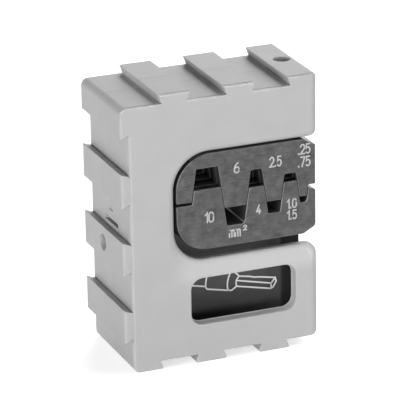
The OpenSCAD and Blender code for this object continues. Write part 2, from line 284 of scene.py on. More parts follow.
def makeWearAndHighlight():
    # light rubbing on raised edges: the rim mask of the mesh, broken up by noise; on the case it also
    # carries a painted highlight
    group, start, end = nodeGroup("rubbed edges and painted highlight", [
        ("Vector", "NodeSocketVector", (0, 0, 0)),
        ("Rim", "NodeSocketFloat", 0.0),
        ("Breakup Scale", "NodeSocketFloat", 1.5),
        ("Amount", "NodeSocketFloat", 0.5),
    ], [("Mask", "NodeSocketFloat")])
    breakup = noiseNode(group, start.outputs["Vector"], start.outputs["Breakup Scale"], 4.0, 0.65)
    broken = rangeNode(group, breakup, 0.3, 0.62, 0.25, 1.0)
    mask = mathNode(group, "MULTIPLY", mathNode(group, "MULTIPLY", start.outputs["Rim"], broken),
                    start.outputs["Amount"])
    group.links.new(mask, end.inputs["Mask"])
    return group


def makePlanes():
    # one near two parallel planes across an axis, zero away from them
    group, start, end = nodeGroup("near both faces", [
        ("Vector", "NodeSocketVector", (0, 0, 0)),
        ("Half Depth", "NodeSocketFloat", 10.0),
        ("Reach", "NodeSocketFloat", 0.2),
    ], [("Mask", "NodeSocketFloat")])
    outward = mathNode(group, "ABSOLUTE", axisPart(group, start.outputs["Vector"], "Y"))
    short = mathNode(group, "SUBTRACT", start.outputs["Half Depth"], outward)
    mask = rangeNode(group, short, start.outputs["Reach"], 0.0, 0.0, 1.0)
    group.links.new(mask, end.inputs["Mask"])
    return group


grainGroup = makeGrain()
wearAndHighlightGroup = makeWearAndHighlight()
planesGroup = makePlanes()


def startMaterial(name):
    material = bpy.data.materials.new(name)
    material.use_nodes = True
    tree = material.node_tree
    shader = tree.nodes["Principled BSDF"]
    coordinates = tree.nodes.new("ShaderNodeTexCoord")
    inMm = tree.nodes.new("ShaderNodeVectorMath")
    inMm.operation = "SCALE"
    inMm.inputs["Scale"].default_value = 1000.0
    tree.links.new(coordinates.outputs["Object"], inMm.inputs[0])
    return material, tree, shader, inMm.outputs["Vector"]


def placeGroup(tree, group, vector, values):
    node = tree.nodes.new("ShaderNodeGroup")
    node.node_tree = group
    tree.links.new(vector, node.inputs["Vector"])
    for label, value in values.items():
        node.inputs[label].default_value = value
    return node


def rampNode(tree, value, stops):
    # two stops, each a position and a grey
    ramp = tree.nodes.new("ShaderNodeValToRGB")
    elements = ramp.color_ramp.elements    # a new ramp has two
    for element, (position, grey) in zip(elements, stops):
        element.position = position
        element.color = (grey, grey, grey, 1)
    tree.links.new(value, ramp.inputs["Fac"])
    return ramp.outputs["Color"]


def bumpNode(tree, height, strength, distance):
    bump = tree.nodes.new("ShaderNodeBump")
    bump.inputs["Strength"].default_value = strength
    bump.inputs["Distance"].default_value = distance
    tree.links.new(height, bump.inputs["Height"])
    return bump.outputs["Normal"]


def mixColour(tree, mask, first, second):
    mix = tree.nodes.new("ShaderNodeMix")
    mix.data_type = "RGBA"
    for label, value in (("A", first), ("B", second)):
        if isinstance(value, (int, float)):
            mix.inputs[label].default_value = (value, value, value, 1)
        else:
            tree.links.new(value, mix.inputs[label])
    tree.links.new(mask, mix.inputs["Factor"])
    return mix.outputs["Result"]


def variedRoughness(tree, rough, noise, look):
    spread = look["roughnessSpread"]
    return mathNode(tree, "ADD", rough, rangeNode(tree, noise, 0.3, 0.7, -spread, spread))


def attributeNode(tree, name):
    node = tree.nodes.new("ShaderNodeAttribute")
    node.attribute_name = name
    return node.outputs["Fac"]


casePlasticLook = {
    "greys": {"front": 0.46, "rear": 0.478},
    "greySpread": 0.01,
    "patchScale": 0.22,
    "rubbedHighlightTone": 0.62,            # crisp upper edges, rubbed by handling and painted paler as a highlight
    "rubbedHighlightScale": 0.6,
    "ledgeHighlightTone": 0.55,             # strip below the die window, painted paler as a highlight
    "ledgeRise": (14.4, 17.4),     # heights over which that strip fades in, mm
    "ledgeFall": (22.0, 24.0),     # heights over which it has faded out again
    "ledgeStart": (-10.5, -5.5),   # the same from the left
    "ledgeDepth": (-8.6, -9.4),    # and from behind
    "roughness": 0.6,
    "rubbedRoughness": 0.4,
    "roughnessSpread": 0.05,
    "grainScale": 5.0,
    "grainStrength": 0.35,
    "grainDepth": 0.00002,
    "ior": 1.46,
    "specular": 0.35,
}


def ledgeHighlightMask(tree, vector, look):
    # painted highlight: front skin of the bar between the two windows, painted paler, fading out below and
    # to the left
    height = axisPart(tree, vector, "Z")
    mask = rangeNode(tree, height, *look["ledgeRise"], 0.0, 1.0)
    for value, (low, high), ends in ((height, look["ledgeFall"], (1.0, 0.0)),
                                     (axisPart(tree, vector, "X"), look["ledgeStart"], (0.0, 1.0)),
                                     (axisPart(tree, vector, "Y"), look["ledgeDepth"], (0.0, 1.0))):
        mask = mathNode(tree, "MULTIPLY", mask, rangeNode(tree, value, low, high, *ends))
    return mask


def makeCasePlastic(shellName):
    look = casePlasticLook
    grey, spread = look["greys"][shellName], look["greySpread"]
    material, tree, shader, vector = startMaterial(f"matt moulded grey plastic {shellName}")
    grain = placeGroup(tree, grainGroup, vector, {"Grain Scale": look["grainScale"],
                                                  "Patch Scale": look["patchScale"]})
    tone = rampNode(tree, grain.outputs["Patches"], [(0.3, grey - spread), (0.7, grey + spread)])
    wearAndHighlight = placeGroup(tree, wearAndHighlightGroup, vector, {"Breakup Scale": look["rubbedHighlightScale"], "Amount": 1.0})
    tree.links.new(attributeNode(tree, "rim"), wearAndHighlight.inputs["Rim"])
    rubbedHighlight = wearAndHighlight.outputs["Mask"]
    # painted highlight: the bar between the windows is painted paler
    paintedHighlightTone = mixColour(tree, ledgeHighlightMask(tree, vector, look), tone, look["ledgeHighlightTone"])
    # painted highlight: the rubbed upper front edges are painted paler as well as made glossier
    tree.links.new(mixColour(tree, rubbedHighlight, paintedHighlightTone, look["rubbedHighlightTone"]), shader.inputs["Base Color"])
    rough = rangeNode(tree, rubbedHighlight, 0.0, 1.0, look["roughness"], look["rubbedRoughness"])
    tree.links.new(variedRoughness(tree, rough, grain.outputs["Height"], look), shader.inputs["Roughness"])
    bump = bumpNode(tree, grain.outputs["Height"], look["grainStrength"], look["grainDepth"])
    tree.links.new(bump, shader.inputs["Normal"])
    shader.inputs["IOR"].default_value = look["ior"]
    shader.inputs["Specular IOR Level"].default_value = look["specular"]
    return material


dieSteelLook = {
    "oxide": (0.046, 0.06),      # blackened body, tangs and nests
    "ground": (0.055, 0.125),    # front and rear faces of the heads
    "halfDepth": 10.0,           # from the middle to those faces, mm
    "groundReach": 0.25,         # how far in from them the ground look goes
    "rim": 0.2,                  # broken edges round the ground faces
    "paintedHighlightTone": 0.7,             # burnished corner at the bottom of the nest for 6, painted bright as a highlight line
    "paintedShadeTone": 0.006,            # painted shade: left side of the heads and right end of the tangs, painted near black
    "tangEnd": (14.3, 15.4),     # x in mm where that end begins and is full
    "oxideMetallic": 0.1,
    "groundMetallic": 0.8,
    "oxideRoughness": 0.41,
    "paintedShadeRoughness": 0.85,
    "groundRoughness": 0.34,
    "roughnessSpread": 0.05,
    "brushScale": 2.4,
    "brushStretch": (0.35, 0.35, 3.0),
    "brushShare": 0.4,           # of the tone, the rest comes from the patches
    "brushStrength": 0.4,
    "brushDepth": 0.000006,
    "patchScale": 0.5,
    "wearScale": 0.9,
    "wearAmount": 0.8,
}


def makeDieSteel():
    look = dieSteelLook
    material, tree, shader, vector = startMaterial("black oxide die steel")
    brush = placeGroup(tree, grainGroup, vector, {"Grain Scale": look["brushScale"],
                                                  "Patch Scale": look["patchScale"],
                                                  "Stretch": look["brushStretch"]})
    planes = placeGroup(tree, planesGroup, vector, {"Half Depth": look["halfDepth"],
                                                    "Reach": look["groundReach"]})
    wearAndHighlight = placeGroup(tree, wearAndHighlightGroup, vector, {"Breakup Scale": look["wearScale"],
                                                "Amount": look["wearAmount"]})
    tree.links.new(attributeNode(tree, "rim"), wearAndHighlight.inputs["Rim"])
    lines, isGround = brush.outputs["Height"], planes.outputs["Mask"]
    blend = mathNode(tree, "ADD", mathNode(tree, "MULTIPLY", lines, look["brushShare"]),
                     mathNode(tree, "MULTIPLY", brush.outputs["Patches"], 1 - look["brushShare"]))
    # painted shade: the right end of the tangs and the left side of the heads are painted near black and
    # rough
    tangEnd = rangeNode(tree, axisPart(tree, vector, "X"), *look["tangEnd"], 0.0, 1.0)
    shadedTangEnd = mathNode(tree, "MULTIPLY", tangEnd, attributeNode(tree, "tang"))
    paintedShadeMask = mathNode(tree, "MAXIMUM", shadedTangEnd, attributeNode(tree, "shadedSide"))
    burnishedHighlight = attributeNode(tree, "burnishedHighlight")
    scale, ground = (rampNode(tree, blend, [(0.35, low), (0.65, high)])
                     for low, high in (look["oxide"], look["ground"]))
    tone = mixColour(tree, isGround, mixColour(tree, paintedShadeMask, scale, look["paintedShadeTone"]), ground)
    worn = mixColour(tree, wearAndHighlight.outputs["Mask"], tone, look["rim"])
    # painted highlight: the burnished nest corner is painted bright metal
    tree.links.new(mixColour(tree, burnishedHighlight, worn, look["paintedHighlightTone"]), shader.inputs["Base Color"])
    inner = rangeNode(tree, paintedShadeMask, 0.0, 1.0, look["oxideRoughness"], look["paintedShadeRoughness"])
    rough = rangeNode(tree, isGround, 0.0, 1.0, inner, look["groundRoughness"])
    tree.links.new(variedRoughness(tree, rough, blend, look), shader.inputs["Roughness"])
    bare = mathNode(tree, "MAXIMUM", isGround, burnishedHighlight)
    metallic = rangeNode(tree, bare, 0.0, 1.0, look["oxideMetallic"], look["groundMetallic"])
    tree.links.new(metallic, shader.inputs["Metallic"])
    tree.links.new(bumpNode(tree, lines, look["brushStrength"], look["brushDepth"]), shader.inputs["Normal"])
    return material


laserLook = {
    "figures": (0.42, 0.54),
    # the icon is the same marking as the figures, painted brighter to make up for the shade it lies in
    "icon": (0.72, 0.86),
    "roughness": 0.7,
    "grainScale": 9.0,
    "patchScale": 1.2,
}


def makeLaserMark(name, tones):
    look = laserLook
    material, tree, shader, vector = startMaterial(name)
    grain = placeGroup(tree, grainGroup, vector, {"Grain Scale": look["grainScale"],
                                                  "Patch Scale": look["patchScale"]})
    low, high = tones
    tone = rampNode(tree, grain.outputs["Height"], [(0.3, low), (0.7, high)])
    tree.links.new(tone, shader.inputs["Base Color"])
    shader.inputs["Roughness"].default_value = look["roughness"]
    return material


frontPlastic = makeCasePlastic("front")
rearPlastic = makeCasePlastic("rear")
dieSteel = makeDieSteel()
figureMark = makeLaserMark("pale laser marking", laserLook["figures"])
iconMark = makeLaserMark("laser marking lifted by painted light", laserLook["icon"])
print("materials made")

# Storage case
caseShape = {
    "width": 36.6,
    "height": 49.25,
    "depth": 20.0,
    "wall": 2.0,
    "seam": 10.6,
    "seamBreak": 0.06,
    "railHeight": 1.6,
    "undercut": 0.6,
    "topRails": (8.95, 21.45, 33.95),
    "bottomRails": (2.7, 15.2, 27.7),
    "topTip": 3.075,          # half the width of a top or bottom rail's tip
    "leftRails": (7.6, 20.65, 33.7),
    "leftTip": 3.2125,        # half the height of a left rail's tip
    "leftSunk": 0.6,          # how far the left rails reach into the wall
    "cornerRailLow": 44.1375,
    "railSet": 0.12,          # left rails stand this far behind the front face
    "railFillet": 0.05,
    "sideFillet": 0.1,
    "bottomTipRadius": 0.25,
    "cornerRadius": 1.3,
    "openTopRadius": 0.6,
    "window": (8.58, 18.2, 38.87),
    "windowRadii": (6.17, 6.8),   # lower left and upper left
    "ledgeRadius": 2.2,
    "barRadius": 1.4,
    "label": (11.62, 5.94, 32.0, 14.65),
    "labelRadius": 2.1,
    # edge of the label window, depth and spread: a soft rounding, a steep wall and a thin lip facing front
    "labelProfile": ((-0.4, 0.42), (0.003, 0.41), (0.03, 0.31), (0.08, 0.24), (0.16, 0.19), (0.3, 0.16),
                     (1.2, 0.14), (1.78, 0.13), (1.84, 0.11), (1.86, 0.01), (1.9, 0.0), (3.0, 0.0)),
    "slit": (6.7, 13.3, 24.2875, 25.1375),
    "recess": (9.3, 11.3, 26.6125, 28.6125, 0.3),
    "dimpleX": 34.15,
    "dimpleRadius": 1.6,
    "dimpleDepth": 1.35,
    "lineFront": 0.55,        # fine line that runs round the front shell just behind its face
    "lineWidth": 0.34,
    "overlap": 0.3,           # ribs, webs and bosses reach this far into the walls
    "ribFront": 6.25,         # guide rib beside the tangs
    "ribSize": (1.4, 1.7),
    "ribEnd": 35.4,
    "webHeights": (27.55, 31.55),
    "webEnd": 8.72,
    "webThickness": 1.2,
    "bosses": ((5.3, 5.3), (5.3, 43.95)),
    "bossRadius": 2.2,
}

# each kind of edge: front radius, rear radius, depth of the fine line, strip that leans back and by how much
edgeStyles = {
    "top": (0.3, 0.1, 0.2, 0.0, 0.0),
    "bottom": (0.18, 0.1, 0.0, 0.0, 0.0),
    "left": (0.5, 0.12, 0.07, 0.0, 0.0),
    "right": (1.2, 1.2, 0.0, 0.0, 0.0),
    "window": (1.2, 1.2, 0.0, 0.0, 0.0),
    "ledge": (1.2, 1.2, 0.0, 2.9, 0.42),
}


def caseCorners():
    # x, z, radius and steps of every corner, with the kind of the edge after it
    shape = caseShape
    width, height, proud = shape["width"], shape["height"], shape["railHeight"]
    top = height + proud
    fillet, tip, tipRadius = shape["railFillet"], shape["topTip"], shape["bottomTipRadius"]
    root = tip - shape["undercut"]
    radius = shape["cornerRadius"]
    windowX, windowLow, windowHigh = shape["window"]
    firstRail, *otherRails = shape["bottomRails"]
    corners = [(0, -proud, radius, 10, "bottom"), (firstRail + tip, -proud, tipRadius, 3, "bottom"),
               (firstRail + root, 0, fillet, 2, "bottom")]
    for centre in otherRails:
        corners += [(centre - root, 0, fillet, 2, "bottom"), (centre - tip, -proud, tipRadius, 3, "bottom"),
                    (centre + tip, -proud, tipRadius, 3, "bottom"), (centre + root, 0, fillet, 2, "bottom")]
    corners += [(width, 0, radius, 10, "right"), (width, windowLow, shape["ledgeRadius"], 14, "ledge"),
                (windowX, windowLow, shape["windowRadii"][0], 28, "window"),
                (windowX, windowHigh, shape["windowRadii"][1], 28, "window"),
                (width, windowHigh, shape["barRadius"], 10, "right")]
    *otherRails, lastRail = shape["topRails"]
    corners += [(width, top, shape["openTopRadius"], 6, "top"), (lastRail - tip, top, fillet, 2, "top"),
                (lastRail - root, height, fillet, 2, "top")]
    for centre in reversed(otherRails):
        corners += [(centre + root, height, fillet, 2, "top"), (centre + tip, top, fillet, 2, "top"),
                    (centre - tip, top, fillet, 2, "top"), (centre - root, height, fillet, 2, "top")]
    low = shape["cornerRailLow"]
    corners += [(-proud, height, radius, 10, "left"), (-proud, low - shape["undercut"], fillet, 2, "bottom"),
                (0, low, fillet, 2, "left")]
    return corners


def labelCutter():
    shape = caseShape
    corners = [(x, z, shape["labelRadius"], 12) for x, z in block(*shape["label"])]
    flat = [0.0] * 4
    rings = [filletedRing(corners, flat, [depth] * 4, spread) for depth, spread in shape["labelProfile"]]
    return solidFromRings("label cutter", rings)


def sideRail(centre, depth, mirrorDepth):
    shape = caseShape
    proud, tip, sunk = shape["railHeight"], shape["leftTip"], shape["leftSunk"]
    inner = tip - shape["undercut"] * (proud + sunk) / proud    # the flanks run on into the wall
    small = shape["sideFillet"]
    corners = [(-proud, centre - tip, small, 3), (sunk, centre - inner, small, 2),
               (sunk, centre + inner, small, 2), (-proud, centre + tip, small, 3)]
    endRadius = edgeStyles["left"][0 if mirrorDepth is None else 1]
    edges = [small, small, small, endRadius]
    rings = roundedRings(corners, edges, shape["railSet"], depth, 6, shape["seamBreak"])
    return solidFromRings("side rail", rings, mirrorDepth)


def sharedCutters():
    # the slit, the shallow recess and the top dimple lie across the seam, so both shells lose them
    shape = caseShape
    slitFront, slitBack, slitLow, slitHigh = shape["slit"]
    recessFront, recessBack, recessLow, recessHigh, recessDepth = shape["recess"]
    outside, inside = -1, 3    # the slit goes right through the wall
    slit = prism("slit cutter", block(outside, slitLow, inside, slitHigh), slitFront, slitBack, 0.02, 0.02)
    recess = prism("recess cutter", block(outside, recessLow, recessDepth, recessHigh),
                   recessFront, recessBack, 0.02, 0.02)
    top = shape["height"] + shape["railHeight"]
    dimpleX = shape["dimpleX"]
    topDimple = rod("dimple cutter", (dimpleX, shape["seam"], top - shape["dimpleDepth"]),
                    (dimpleX, shape["seam"], top + 1), shape["dimpleRadius"])
    return [slit, recess, topDimple]


def faceDepths(mesh, face):
    return [mesh.vertices[index].co.y for index in face.vertices]


def setMarks(mesh, name, isMarked):
    marks = mesh.attributes.new(name, "FLOAT", "FACE")
    marks.data.foreach_set("value", [float(mark) for mark in isMarked])


def markRubbedHighlight(shell):
    # small upward roundings between the top and the front face are rubbed glossier by handling and painted
    # paler as a highlight line
    isRim = []
    for face in shell.data.polygons:
        atFront = max(faceDepths(shell.data, face)) < 0.6 and face.normal.y < -0.2
        isRim.append(atFront and face.normal.z > 0.3 and face.center.z > caseShape["height"] / 2)
    setMarks(shell.data, "rim", isRim)


def makeShell(name, nodeName, isRear):
    shape = caseShape
    depth = shape["depth"] - shape["seam"] if isRear else shape["seam"]
    mirrorDepth = shape["depth"] if isRear else None
    drawn = caseCorners()
    corners = [corner[:4] for corner in drawn]
    styles = [edgeStyles[corner[4]] for corner in drawn]
    if isRear:
        rings = roundedRings(corners, [style[1] for style in styles], 0.0, depth, 7, shape["seamBreak"])
    else:
        lines = (shape["lineFront"], shape["lineWidth"], [style[2] for style in styles])
        rings = roundedRings(corners, [style[0] for style in styles], 0.0, depth, 7, shape["seamBreak"],
                             [style[3:] for style in styles], lines)
    body = solidFromRings(name, rings, mirrorDepth)
    wall, height, sunk = shape["wall"], shape["height"], shape["wall"] - shape["overlap"]
    beyond = 40    # the cavity is open to the right
    cavity = prism("cavity cutter", block(wall, wall, beyond, height - wall), wall, depth + 1, 0.3, 0.3,
                   mirrorDepth)
    cutters = [cavity] + sharedCutters()
    if not isRear:
        cutters.append(labelCutter())
    cut(body, cutters)
    parts = [body]
    for centre in shape["leftRails"]:
        rail = sideRail(centre, depth, mirrorDepth)
        if centre == shape["leftRails"][1]:
            start = (-3, shape["seam"], centre)
            end = (-shape["railHeight"] + shape["dimpleDepth"], shape["seam"], centre)
            cut(rail, [rod("dimple cutter", start, end, shape["dimpleRadius"])])
        parts.append(rail)
    ribDepth, ribHeight = shape["ribSize"]
    for low in (sunk, height - sunk - ribHeight):
        outline = block(sunk, low, shape["ribEnd"], low + ribHeight)
        parts.append(prism("guide rib", outline, shape["ribFront"], shape["ribFront"] + ribDepth, 0.12, 0.12,
                           mirrorDepth))
    half = shape["webThickness"] / 2
    for middle in shape["webHeights"]:
        outline = block(sunk, middle - half, shape["webEnd"], middle + half)
        parts.append(prism("stop web", outline, sunk, depth, 0.1, 0.1, mirrorDepth))
    near, far = sunk, depth - 0.01
    if isRear:
        near, far = shape["depth"] - near, shape["depth"] - far
    for x, z in shape["bosses"]:
        parts.append(rod("boss", (x, near, z), (x, far, z), shape["bossRadius"], 40))
    shell = joined(name, parts)
    markRubbedHighlight(shell)
    finishPiece(shell, rearPlastic if isRear else frontPlastic, "case", 42)
    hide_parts(nodeName)
    return shell


frontShell = makeShell("frontShell", "front_shell", False)
rearShell = makeShell("rearShell", "rear_shell", True)
print("case shells made, faces", len(frontShell.data.polygons), len(rearShell.data.polygons))

# Crimping dies
dieShape = {
    "left": 8.85,
    "right": 36.15,
    "low": 20.4,
    "high": 38.7,
    "depth": 20.0,
    "split": 29.55,
    "gap": 0.5,                  # between the shoulders
    "headRadii": (6.0, 6.6),     # lower left and upper left
    "cornerRadius": 0.2,
    "openRadius": 0.9,           # lower right corners of the lower die
    "chamfer": (2.4, 1.3),
    "entryDrop": 0.6,            # right shoulder of the lower die, for a flared opening
    "firstFlank": 3.03,
    "flankAngle": 8.5,
    "flankPlay": (0.12, 0.08),   # left and right flank of a lower tooth, room for closing by 0.45
    "nestWidths": (6.02, 4.86, 3.44, 3.44, 3.04, 2.07),
    "nestDepths": (6.4, 5.28, 4.72, 4.15, 2.95, 3.0),
    "toothHeights": (2.38, 1.8, 1.38, 1.85, 1.4, 1.85),
    "grooveCount": 6,            # crimp grooves across each nest, from the front
    "grooveFirst": 1.5,
    "groovePitch": 3.2,
    "grooveWidth": 1.5,
    "grooveDepth": 0.5,
    "edgeBreak": 0.12,
    "toothFillet": 0.14,
    "nestFillets": ((0.15, 0.15), (0.3, 0.55), (0.35, 0.35), (0.15, 0.5), (0.35, 0.35), (0.4, 0.75)),
    "tang": (9.75, 7.8, 12.2),   # left side, front and back
    "tangEnds": (2.2, 47.05),    # lower and upper
    "tangRadius": 1.5,
    "tangBreak": 0.15,
    "boreX": 27.45,
    "boreHeights": (13.7, 42.9),
    "boreRadius": 2.0,
}


def flankX(index, rise):
    shape = dieShape
    lean = 1 if index % 2 == 0 else -1
    start = shape["left"] + shape["firstFlank"] + sum(shape["nestWidths"][:index])
    return start + lean * rise * math.tan(math.radians(shape["flankAngle"]))


def flankPoint(index, rise, side):
    lean = -1 if index % 2 == 0 else 1
    play = dieShape["flankPlay"][index % 2]
    return flankX(index, rise) + lean * side * play / 2, dieShape["split"] + rise


def nestLevel(index, side):
    isEven = index % 2 == 0
    heights = dieShape["nestDepths"] if isEven == (side > 0) else dieShape["toothHeights"]
    return heights[index] if isEven else -heights[index]


def matingEdge(side):
    shape = dieShape
    shoulder = side * shape["gap"] / 2
    count = len(shape["nestWidths"])
    tooth = shape["toothFillet"]
    points = [(*flankPoint(0, shoulder, side), tooth, 3)]
    for index in range(count):
        level = nestLevel(index, side)
        left, right = shape["nestFillets"][index] if (index % 2 == 0) == (side > 0) else (tooth, tooth)
        points += [(*flankPoint(index, level, side), left, 5),
                   (*flankPoint(index + 1, level, side), right, 5)]
    points.append((*flankPoint(count, shoulder, side), tooth, 3))
    return points


def headCorners(side):
    shape = dieShape
    left, right, low, high = shape["left"], shape["right"], shape["low"], shape["high"]
    chamferWidth, chamferHeight = shape["chamfer"]
    small, opened = shape["cornerRadius"], shape["openRadius"]
    mating = matingEdge(side)
    shoulder = shape["split"] + side * shape["gap"] / 2
    if side > 0:
        return [(left, shoulder, small, 3), *mating, (right, shoulder, small, 3),
                (right, high - chamferHeight, small, 3), (right - chamferWidth, high, small, 3),
                (left, high, shape["headRadii"][1], 24)]
    return [(left, low, shape["headRadii"][0], 24), (right - chamferWidth, low, opened, 6),
            (right, low + chamferHeight, opened, 6), (right, shoulder - shape["entryDrop"], small, 3),
            *reversed(mating), (left, shoulder, small, 3)]


def grooveCutters(wantEven):
    # nests of the upper die are grooved all round, those of the lower only in the tip of their tooth
    shape = dieShape
    deep, half = shape["grooveDepth"], shape["grooveWidth"] / 2
    lean = 1 if wantEven else -1
    spread = deep if wantEven else shape["flankPlay"][0]
    farHeights = shape["nestDepths"] if wantEven else shape["toothHeights"]
    parts = []
    for index in range(0 if wantEven else 1, len(shape["nestWidths"]), 2):
        near = lean * (shape["toothHeights"][index] - deep)
        far = lean * (farHeights[index] + deep)
        points = [(flankX(index, near) - spread, shape["split"] + near),
                  (flankX(index + 1, near) + spread, shape["split"] + near),
                  (flankX(index + 1, far) + spread, shape["split"] + far),
                  (flankX(index, far) - spread, shape["split"] + far)]
        if not wantEven:
            points.reverse()
        for number in range(shape["grooveCount"]):
            middle = shape["grooveFirst"] + number * shape["groovePitch"]
            parts.append(prism("groove cutter", points, middle - half, middle + half, 0.03, 0.05))
    return joined("groove cutters", parts)


def makeTang(side):
    shape = dieShape
    left, front, back = shape["tang"]
    right = shape["right"] - 0.01
    outer, inner = (shape["tangRadius"], 10), (shape["cornerRadius"], 2)
    if side > 0:
        low, high, boreZ = shape["high"] - 1, shape["tangEnds"][1], shape["boreHeights"][1]
        kinds = (inner, inner, outer, outer)
    else:
        low, high, boreZ = shape["tangEnds"][0], shape["low"] + 1, shape["boreHeights"][0]
        kinds = (outer, outer, inner, inner)
    corners = [(*point, *kind) for point, kind in zip(block(left, low, right, high), kinds)]
    edge = shape["tangBreak"]
    tang = solidFromRings("tang", roundedRings(corners, [edge] * 4, front, back, 3, edge))
    start, end = (shape["boreX"], front - 1, boreZ), (shape["boreX"], back + 1, boreZ)
    cut(tang, [rod("bore cutter", start, end, shape["boreRadius"])])
    return tang


def markFaces(die, side):
    # rim: broken edges round the ground faces; tang: all but the head
    # shadedSide: left side of the head, painted near black as shade; burnishedHighlight: right bottom corner
    # of the nest for 6, burnished and painted bright as a highlight
    shape = dieShape
    mesh = die.data
    found = {"rim": [], "tang": [], "shadedSide": [], "burnishedHighlight": []}
    cornerX, cornerZ = flankPoint(2, nestLevel(1, side), side)
    edge = shape["edgeBreak"] + 0.01
    for face in mesh.polygons:
        centre, normal, depths = face.center, face.normal, faceDepths(mesh, face)
        nearFace = max(depths) < edge or min(depths) > shape["depth"] - edge
        found["rim"].append(nearFace and max(depths) - min(depths) > 0.001)
        found["tang"].append(not shape["low"] < centre.z < shape["high"])
        found["shadedSide"].append(normal.x < -0.2 and centre.x < shape["left"] + shape["firstFlank"] - 0.1)
        nearCorner = side < 0 and math.hypot(centre.x - cornerX, centre.z - cornerZ) < 0.4
        found["burnishedHighlight"].append(nearCorner and 0.5 < normal.z < 0.9)
    for name, isMarked in found.items():
        setMarks(mesh, name, isMarked)


def makeDie(name, nodeName, side, body):
    shape = dieShape
    corners, edge = headCorners(side), shape["edgeBreak"]
    rings = roundedRings(corners, [edge] * len(corners), 0.0, shape["depth"], 3, edge)
    head = solidFromRings(name, rings)
    cut(head, [grooveCutters(True), grooveCutters(False)])
    die = joined(name, [head, makeTang(side)])
    markFaces(die, side)
    finishPiece(die, dieSteel, body, 38)
    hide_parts(nodeName)
    return die


upperDie = makeDie("upperDie", "upper_die", 1, "upper_jaw")
lowerDie = makeDie("lowerDie", "lower_die", -1, "lower_jaw")
print("dies made, faces", len(upperDie.data.polygons), len(lowerDie.data.polygons))

# Engraved figures and the ferrule icon
markStyle = {
    "stroke": 0.28,
    "iconStroke": 0.3,
    "proud": 0.01,
    "step": 0.0012,           # strokes that cross differ by this much, so that no two lie in one plane
    "sunk": 0.05,
}


def arcPoints(centreX, centreZ, radiusX, radiusZ, startAngle, endAngle, steps=10):
    points = []
    for step in range(steps + 1):
        angle = math.radians(startAngle + (endAngle - startAngle) * step / steps)
        points.append((centreX + radiusX * math.cos(angle), centreZ + radiusZ * math.sin(angle)))
    return points


# single strokes of each figure, one unit high, with the advance to the next
figureStrokes = {
    "0": (0.62, [arcPoints(0.31, 0.69, 0.31, 0.31, 0, 180) + arcPoints(0.31, 0.31, 0.31, 0.31, 180, 360)
                 + [(0.62, 0.69)]]),
    "1": (0.36, [[(0.08, 0.76), (0.34, 1.0), (0.34, 0.0)]]),
    "2": (0.6, [arcPoints(0.3, 0.7, 0.3, 0.3, 165, -35) + [(0.0, 0.0), (0.62, 0.0)]]),
    "4": (0.66, [[(0.44, 1.0), (0.0, 0.27), (0.66, 0.27)], [(0.48, 0.52), (0.48, 0.0)]]),
    "5": (0.6, [[(0.56, 1.0), (0.1, 1.0), (0.05, 0.54)] + arcPoints(0.29, 0.33, 0.31, 0.33, 125, -140, 14)]),
    "6": (0.62, [arcPoints(0.31, 0.29, 0.31, 0.29, 0, 360, 20),
                 arcPoints(0.62, 0.33, 0.61, 0.67, 185, 105, 9)]),
    "7": (0.6, [[(0.0, 1.0), (0.6, 1.0), (0.2, 0.0)]]),
    ".": (0.16, [[(0.06, 0.0), (0.06, 0.06)]]),
    "m": (0.92, [[(0.0, 0.0), (0.0, 1.0)], arcPoints(0.23, 0.75, 0.23, 0.22, 180, 0) + [(0.46, 0.0)],
                 arcPoints(0.69, 0.75, 0.23, 0.22, 180, 0) + [(0.92, 0.0)]]),
}


def strokeSlab(build, points, width, surface):
    # one drawn stroke as a thin slab with round ends, just proud of the surface
    half = width / 2
    front = surface - markStyle["proud"] - markStyle["step"] * (len(build.faces) % 8)
    back = surface + markStyle["sunk"]
    flat = [Vector(point) for point in points]
    clean = [flat[0]]
    for point in flat[1:]:
        if (point - clean[-1]).length > 0.01:
            clean.append(point)
    rails = []
    for index, point in enumerate(clean):
        before = (point - clean[index - 1]).normalized() if index else None
        after = (clean[index + 1] - point).normalized() if index + 1 < len(clean) else None
        if before is None or after is None:
            along = after or before
            reach = half
        else:
            along = (before + after).normalized()
            reach = half / max(along.dot(after), 0.45)
        normal = Vector((-along.y, along.x)) * reach
        rails.append((point + normal, point - normal))
    outlines = []
    for (leftA, rightA), (leftB, rightB) in zip(rails, rails[1:]):
        outlines.append([leftA, rightA, rightB, leftB])
    for end, other in ((clean[0], clean[1]), (clean[-1], clean[-2])):
        facing = math.atan2(end.y - other.y, end.x - other.x)
        cap = [end + Vector((math.cos(facing + math.pi * (step / 6 - 0.5)),
                             math.sin(facing + math.pi * (step / 6 - 0.5)))) * half for step in range(7)]
        outlines.append(cap)
    for outline in outlines:
        near = [build.verts.new((point.x, front, point.y)) for point in outline]
        far = [build.verts.new((point.x, back, point.y)) for point in outline]
        build.faces.new(near)
        build.faces.new(list(reversed(far)))
        for index in range(len(near)):
            after = (index + 1) % len(near)
            build.faces.new([near[index], far[index], far[after], near[after]])


def writeFigures(build, figures, left, base, height, width):
    # squeezed or spread to fill the width
    gap = 0.2
    natural = sum(figureStrokes[figure][0] + gap for figure in figures) - gap
    stretch = width / natural
    cursor = 0.0
    for figure in figures:
        advance, strokes = figureStrokes[figure]
        for stroke in strokes:
            points = [(left + (cursor + x) * stretch, base + z * height) for x, z in stroke]
            strokeSlab(build, points, markStyle["stroke"], 0.0)
        cursor += advance + gap


def finishMarks(name, build, body, material):
    mesh = bpy.data.meshes.new(name)
    bmesh.ops.recalc_face_normals(build, faces=build.faces)
    build.to_mesh(mesh)
    build.free()
    mesh.transform(toFrame)
    mesh.materials.append(material)
    marks = bpy.data.objects.new(name, mesh)
    bpy.context.collection.objects.link(marks)
    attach(marks, body)


